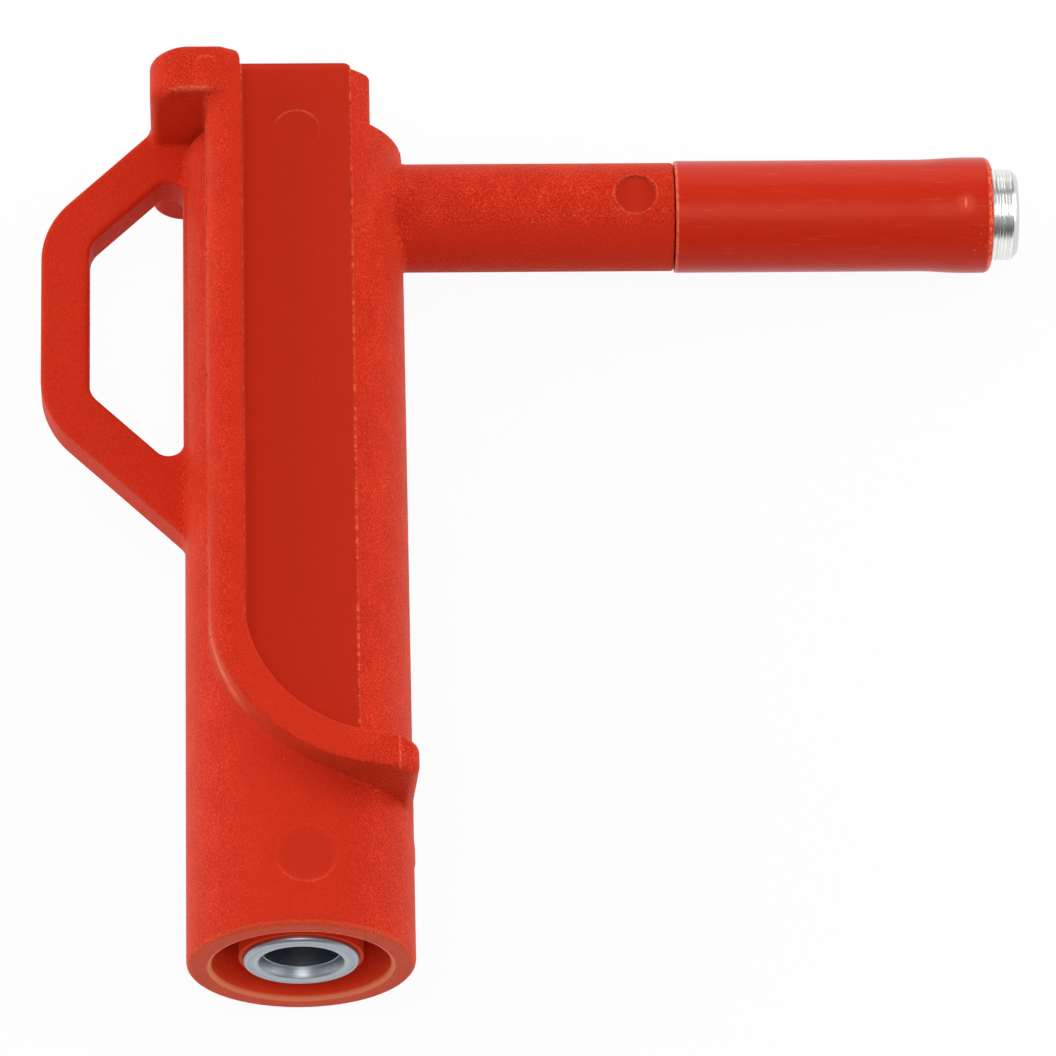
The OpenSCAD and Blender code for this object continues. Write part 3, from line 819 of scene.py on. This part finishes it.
def edgeHighlightMask(tree, x, y, z, depth, curve, inner, inside, tone, s):
    # painted highlight on the flash: uneven paler lines along the panels' two edges
    runs = between(tree, noiseOf(tree, z, 0.27, 1.0, alongLine=True), 0.36, 0.6, -0.07, 0.02)
    dashes = plus(tree, noiseOf(tree, z, 2.3, 4.0, 0.7, alongLine=True), runs)
    lines = largest(tree, closeTo(tree, x, s["panelHalf"] - 0.02, 0.04, 0.1),
                    closeTo(tree, curve, inner - 0.02, 0.04, 0.1))
    lines = times(tree, lines, closeTo(tree, depth, s["panelDepth"], 0.06, 0.14), inside,
                  between(tree, dashes, 0.44, 0.64, 0.14, 0.9))
    # a paler parting line on the rib's outer side, widening into a painted highlight where the sweep begins
    wide = closeTo(tree, z, 15.4, 0.4, 2.6, 0.34, 0.06)
    middle = minus(tree, s["guardHalf"] - s["ribCorner"] + 0.1, times(tree, wide, 0.6))
    off = calc(tree, "DIVIDE", calc(tree, "ABSOLUTE", minus(tree, depth, middle)), wide)
    parting = times(tree, below(tree, off, 0.7, 1.5), between(tree, curve, inner + 1.6, inner + 1.75),
                    below(tree, curve, inner + 2.0, inner + 2.1), between(tree, z, 11.5, 13.0),
                    between(tree, tone, 0.2, 0.8, 0.45, 0.95))
    # and a painted highlight on the wall beside it there
    crescentHighlight = times(tree, between(tree, curve, inner + 1.55, inner + 1.75), between(tree, z, 11.6, 13.6),
                  below(tree, curve, inner + 2.0, inner + 2.3), below(tree, z, 16.4, 18.4),
                  between(tree, y, -6.8, -6.5), below(tree, y, -5.8, -5.45), between(tree, tone, 0.2, 0.8, 0.4, 1.0))
    # painted highlights along the roof's lower edge and the corner at the sweep's right end
    roofEdgeHighlight = times(tree, closeTo(tree, z, s["roofTop"] - s["roofDepth"] + 0.1, 0.05, 0.16, 0.75),
                     below(tree, x, -4.7, -4.2))
    endEdgeHighlight = times(tree, closeTo(tree, x, 5.25, 0.03, 0.09, 0.7), below(tree, z, 9.9, 10.1))
    edges = times(tree, largest(tree, roofEdgeHighlight, endEdgeHighlight), between(tree, depth, 7.35, 7.6),
                  between(tree, tone, 0.2, 0.8, 0.3, 1.0))
    return largest(tree, lines, parting, crescentHighlight, edges)


def mouthMasks(tree, x, y, z, tone, s):
    # painted highlight on the slot's lip, painted light on the end face round it, and painted light on the slot's
    # walls, a brighter red
    rho, radius = lengthOf(tree, x, y), s["slotRadius"]
    lipHighlight = times(tree, between(tree, rho, radius - 0.03, radius + 0.03),
                below(tree, rho, radius + 0.18, radius + 0.27), between(tree, z, 0.2, 0.35, 0.9, 0.0))
    face = times(tree, between(tree, rho, radius + 0.15, radius + 0.25, 0.0, 0.42),
                 below(tree, z, 0.15, 0.3), between(tree, tone, 0.0, 1.0, 0.5, 1.0))
    slot = times(tree, below(tree, rho, radius + 0.01, radius + 0.04), between(tree, z, 0.2, 0.4),
                 below(tree, z, s["slotDepth"] + 0.3, s["slotDepth"] + 0.6))
    return lipHighlight, face, slot


def redPlastic(look, s):
    m, tree, shader = newMaterial("red_moulded_plastic", look["shader"])
    where, x, y, z = barrelCoordinates(tree)
    depth = calc(tree, "ABSOLUTE", y)
    height, tone, specks = grainOutputs(tree, where, look)
    # distance from the sweep's centre, and beside the straight rib from the line above that centre
    curve = lengthOf(tree, minus(tree, x, s["sweepRadius"] - s["ribX"]),
                     calc(tree, "MINIMUM", minus(tree, z, s["sweepHeight"]), 0.0))
    inner = s["sweepRadius"] - s["bandWidth"] / 2
    inside = below(tree, curve, inner + 0.02, inner + 0.1)
    polished, markRimHighlight = polishedMasks(tree, x, y, z, depth, inside, s)
    rings, patch = ejectorMasks(tree, x, y, z, tone, look["rings"])
    polished = largest(tree, polished, patch)
    grainy = minus(tree, 1.0, polished)
    lipHighlight, face, slot = mouthMasks(tree, x, y, z, tone, s)
    # painted light in the pale colour: glints on the grain's specks, highlights on the ring marks, the mark's rim and
    # the edges, and light on the end face
    paintedLight = largest(tree, times(tree, specks, grainy, 0.55), times(tree, rings, 0.4),
                   times(tree, markRimHighlight, between(tree, tone, 0.3, 0.7, 0.1, 0.6)),
                   edgeHighlightMask(tree, x, y, z, depth, curve, inner, inside, tone, s), face)

    spread = times(tree, minus(tree, tone, 0.5), grainGlintShare(tree, x, y, z, s))
    spread = plus(tree, spread, 0.5)
    colour = blendColour(tree, spread, look["deep"], look["bright"])
    colour = blendColour(tree, polished, colour, blendColour(tree, tone, look["panelDeep"], look["panelBright"]))
    # painted glints: the brightest grain turns to the pale colour
    grainGlints = times(tree, between(tree, spread, 0.68, 0.9, 0.0, 0.32), grainy)
    for share, layer in ((grainGlints, "edge"), (slot, "slot"), (paintedLight, "edge"), (lipHighlight, "lipHighlight")):
        colour = blendColour(tree, share, colour, look[layer])
    roughness = between(tree, polished, 0.0, 1.0, *look["rough"], smooth=False)
    height = times(tree, height, between(tree, polished, 0.0, 1.0, 1.0, 0.05, smooth=False))
    height = minus(tree, height, times(tree, rings, 0.25))
    finishMaterial(tree, shader, colour, roughness, height, look)
    return m


sleeveLook = {
    # edge is the pale colour of the scratches, pin holes and crumbs, and of the painted highlights on the cut edges
    # and the dent
    "deep": (0.575, 0.022, 0.007, 1.0), "bright": (0.60, 0.025, 0.008, 1.0), "edge": (0.92, 0.16, 0.07, 1.0),
    "grain": 0.26, "speckShare": 0.22, "rough": (0.28, 0.33), "bump": 0.07, "bumpDepth": 0.00006,
    "shader": {"Specular IOR Level": 0.22, "Specular Tint": (1.0, 0.5, 0.35, 1.0)},
    "dent": (37.05, -3.05, 43.7),
}


def drawnNoise(tree, where, stretch, *settings):
    # noise drawn out along the arm
    drawn = addNode(tree, "ShaderNodeMapping", {"Vector": where, "Scale": (stretch, 1.0, 1.0)})
    return noiseOf(tree, drawn.outputs[0], *settings)


def sleevePlastic(look, s):
    # extruded and polished: faint streaks, fine scratches and a few pin holes
    m, tree, shader = newMaterial("red_sleeve_plastic", look["shader"])
    where, x, _, z = barrelCoordinates(tree)
    height, tone, specks = grainOutputs(tree, where, look)
    streak = drawnNoise(tree, where, 0.12, 3.2, 4.0, 0.6)
    scratch = between(tree, drawnNoise(tree, where, 0.05, 11.0, 1.0), 0.66, 0.72)
    tone = plus(tree, times(tree, streak, 0.7), times(tree, tone, 0.3))
    colour = blendColour(tree, between(tree, tone, 0.3, 0.7), look["deep"], look["bright"])
    # painted highlights on the cut edges: a paler line at its start and a paler band round its end, torn into specks
    first, last = s["start"], s["end"]
    torn = noiseOf(tree, where, 6.0, 2.0)
    start = times(tree, between(tree, x, first + 0.1, first + 0.2, 0.9, 0.0),
                  between(tree, torn, 0.36, 0.6, 0.3, 1.0))
    end = times(tree, between(tree, x, last - 0.36, last - 0.26),
                between(tree, x, last - 0.12, last - 0.04, 1.0, 0.2), between(tree, torn, 0.45, 0.58, 0.1, 0.9))
    crumbs = times(tree, between(tree, x, last - 1.9, last - 0.6, 0.0, 0.8),
                   between(tree, torn, 0.64, 0.70), below(tree, z, armHeight - 2.2, armHeight - 1.6))
    # one dent near the thick end, with a painted highlight in its middle
    dent = addNode(tree, "ShaderNodeVectorMath", {0: where, 1: look["dent"]}, operation="SUBTRACT").outputs[0]
    slim = addNode(tree, "ShaderNodeVectorMath", {0: dent, 1: (1.0, 0.3, 0.3)}, operation="MULTIPLY").outputs[0]
    far, near = vectorLength(tree, dent), vectorLength(tree, slim)
    # real scratches, pin holes and crumbs, with the painted highlights of the cut edges and the dent
    wornAndHighlights = largest(tree, start, end, crumbs, between(tree, far, 0.2, 0.75, 0.22, 0.0),
                   between(tree, near, 0.05, 0.13, 0.9, 0.0), times(tree, specks, 0.6), times(tree, scratch, 0.16))
    colour = blendColour(tree, wornAndHighlights, colour, look["edge"])
    roughness = between(tree, streak, 0.3, 0.7, *look["rough"])
    height = plus(tree, streak, times(tree, height, 0.22))
    height = minus(tree, height, between(tree, far, 0.1, 0.6, 5.0, 0.0), times(tree, scratch, 0.8))
    finishMaterial(tree, shader, colour, roughness, height, look)
    return m


def latheGroup():
    # lines that a lathe leaves: they run round, so they change with the place along the axis and the radius
    tree, given, result = newTree(
        "latheLines", "ShaderNodeTree",
        [("Along", "Float"), ("Radius", "Float"), ("Pitch", "Float"), ("Vector", "Vector")],
        [("Lines", "Float"), ("Stain", "Float")])
    place = plus(tree, calc(tree, "DIVIDE", given["Along"], given["Pitch"]),
                 calc(tree, "DIVIDE", given["Radius"], given["Pitch"]))
    cut = noiseOf(tree, place, 1.0, 3.0, 0.7, alongLine=True)
    wide = noiseOf(tree, times(tree, place, 0.17), 1.0, 1.0, alongLine=True)
    lines = plus(tree, times(tree, cut, 0.65), times(tree, wide, 0.35))
    tree.links.new(lines, result["Lines"])
    tree.links.new(between(tree, noiseOf(tree, given["Vector"], 1.6, 3.0), 0.4, 0.62), result["Stain"])
    return tree


lathe = latheGroup()

metalLook = {
    "tip_nickel": {"low": (0.66, 0.66, 0.65, 1.0), "high": (0.93, 0.93, 0.91, 1.0), "rough": (0.26, 0.14),
                   "bump": 0.8, "bumpDepth": 0.00004, "pitch": 0.11, "axis": "arm"},
    "contact_nickel": {"low": (0.30, 0.34, 0.38, 1.0), "high": (0.48, 0.53, 0.57, 1.0), "rough": (0.44, 0.32),
                       "bump": 0.2, "bumpDepth": 0.00004, "pitch": 0.09, "axis": "barrel"},
    "magnet_nickel": {"low": (0.50, 0.51, 0.53, 1.0), "high": (0.66, 0.67, 0.69, 1.0), "rough": (0.40, 0.24),
                      "bump": 0.12, "bumpDepth": 0.00004, "pitch": 0.2, "axis": "arm"},
}


def turnedMetal(name, look):
    m, tree, shader = newMaterial(name, {"Metallic": 1.0})
    where, x, y, z = barrelCoordinates(tree)
    along, across = (x, minus(tree, z, armHeight)) if look["axis"] == "arm" else (z, x)
    g = addNode(tree, "ShaderNodeGroup", {"Along": along, "Radius": lengthOf(tree, across, y), "Pitch": look["pitch"],
                                          "Vector": where}, node_tree=lathe)
    tone = times(tree, between(tree, g.outputs["Lines"], 0.38, 0.6, smooth=False),
                 between(tree, g.outputs["Stain"], 0.0, 1.0, 0.8, 1.0, smooth=False))
    colour = blendColour(tree, tone, look["low"], look["high"])
    roughness = between(tree, tone, 0.0, 1.0, *look["rough"], smooth=False)
    finishMaterial(tree, shader, colour, roughness, g.outputs["Lines"], look)
    return m


redHousing = redPlastic(redLook, housingSizes)
redSleeve = sleevePlastic(sleeveLook, sleeveSizes)
nickel = {name: turnedMetal(name, look) for name, look in metalLook.items()}

for o, node, slotName, material in (
        (housing, "housing", "red_plastic", redHousing),
        (contact, "socket_contact", "contact_nickel", nickel["contact_nickel"]),
        (tip, "tip_rod", "tip_nickel", nickel["tip_nickel"]),
        (magnet, "magnet", "magnet_nickel", nickel["magnet_nickel"]),
        (sleeve, "arm_sleeve", "sleeve_plastic", redSleeve)):
    o.data.materials.clear()
    o.data.materials.append(material)
    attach(o, "root")
    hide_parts(node)
print("materials set")


# Camera: the photograph's, fitted to the adapter's own edges
view = {
    "from": (-2.417, -362.368, -144.827), "azimuth": 2.367, "elevation": 25.157, "roll": -1.446,
    "focalPixels": 7373.9, "framePixels": 1056,
}


def makeCamera(v):
    az, el, roll = (math.radians(v[k]) for k in ("azimuth", "elevation", "roll"))
    forward = Vector((math.sin(az) * math.cos(el), math.cos(az) * math.cos(el), math.sin(el)))
    flatRight = Vector((math.cos(az), -math.sin(az), 0.0))
    flatUp = flatRight.cross(forward)
    right = flatRight * math.cos(roll) + flatUp * math.sin(roll)
    up = flatUp * math.cos(roll) - flatRight * math.sin(roll)
    turn = barrelToTable @ Matrix((right, up, -forward)).transposed()
    data = bpy.data.cameras.new("camera")
    data.sensor_width = 36.0
    data.sensor_fit = "HORIZONTAL"
    data.lens = v["focalPixels"] / v["framePixels"] * data.sensor_width
    data.clip_start = 0.01
    data.clip_end = 20.0
    camera = newObject("camera", data)
    camera.matrix_world = Matrix.Translation(Vector(onTable([v["from"]])[0])) @ turn.to_4x4()
    bpy.context.scene.camera = camera


makeCamera(view)
print("camera placed")


# Studio: a white table with broad lights behind the adapter's top and at both sides
studio = {
    "overhead": 0.43, "worldLevel": 0.24, "darkLevel": 0.14, "whiteShare": 0.94,
    "lights": {
        "top": {"at": (0.0, 0.55, 0.24), "size": 0.45, "watts": 0.80},
        "left": {"at": (-0.43, 0.10, 0.17), "size": 0.4, "watts": 1.40},
        "right": {"at": (0.46, 0.06, 0.17), "size": 0.4, "watts": 1.30},
        "high": {"at": (0.02, -0.13, 0.58), "size": 0.30, "watts": 0.95},
    },
}


def makeTable(share):
    m, tree, shader = newMaterial("white_table", {})
    tree.nodes.remove(shader)
    path = addNode(tree, "ShaderNodeLightPath")
    seen = largest(tree, path.outputs["Is Camera Ray"], path.outputs["Is Glossy Ray"])
    plain = addNode(tree, "ShaderNodeBsdfDiffuse", {"Color": (0.92, 0.92, 0.92, 1.0)})
    white = addNode(tree, "ShaderNodeEmission", {"Color": (1.0, 1.0, 1.0, 1.0), "Strength": 1.0})
    both = addNode(tree, "ShaderNodeMixShader", {0: times(tree, seen, share), 1: plain.outputs[0],
                                                 2: white.outputs[0]})
    tree.links.new(both.outputs[0], tree.nodes["Material Output"].inputs["Surface"])
    mesh = bpy.data.meshes.new("table")
    mesh.from_pydata([(-3, -3, 0), (3, -3, 0), (3, 3, 0), (-3, 3, 0)], [], [(0, 1, 2, 3)])
    mesh.materials.append(m)
    newObject("table", mesh)


def makeLight(name, look):
    data = bpy.data.lights.new(name, "AREA")
    data.shape = "SQUARE"
    data.size = look["size"]
    data.energy = look["watts"]
    at = Vector(look["at"])
    newObject(name, data).matrix_world = Matrix.Translation(at) @ (-at).to_track_quat("-Z", "Y").to_matrix().to_4x4()


def lightWorld(s):
    # a bright ceiling, dimmer walls and one dark wall in front of the mouth
    world = bpy.data.worlds.new("studio")
    bpy.context.scene.world = world
    world.use_nodes = True
    tree = world.node_tree
    way = addNode(tree, "ShaderNodeSeparateXYZ", {0: addNode(tree, "ShaderNodeTexCoord").outputs["Generated"]})
    high = between(tree, way.outputs[2], 0.45, 0.62)
    low = between(tree, way.outputs[1], -0.75, -0.5, s["darkLevel"], s["worldLevel"])
    background = tree.nodes["Background"]
    background.inputs["Color"].default_value = (1.0, 1.0, 1.0, 1.0)
    level = addNode(tree, "ShaderNodeMix", {0: high, 2: low, 3: s["overhead"]})
    tree.links.new(level.outputs[0], background.inputs["Strength"])


makeTable(studio["whiteShare"])
for name, look in studio["lights"].items():
    makeLight(name, look)
lightWorld(studio)
bpy.context.scene.view_settings.view_transform = "Standard"
print("studio lit")
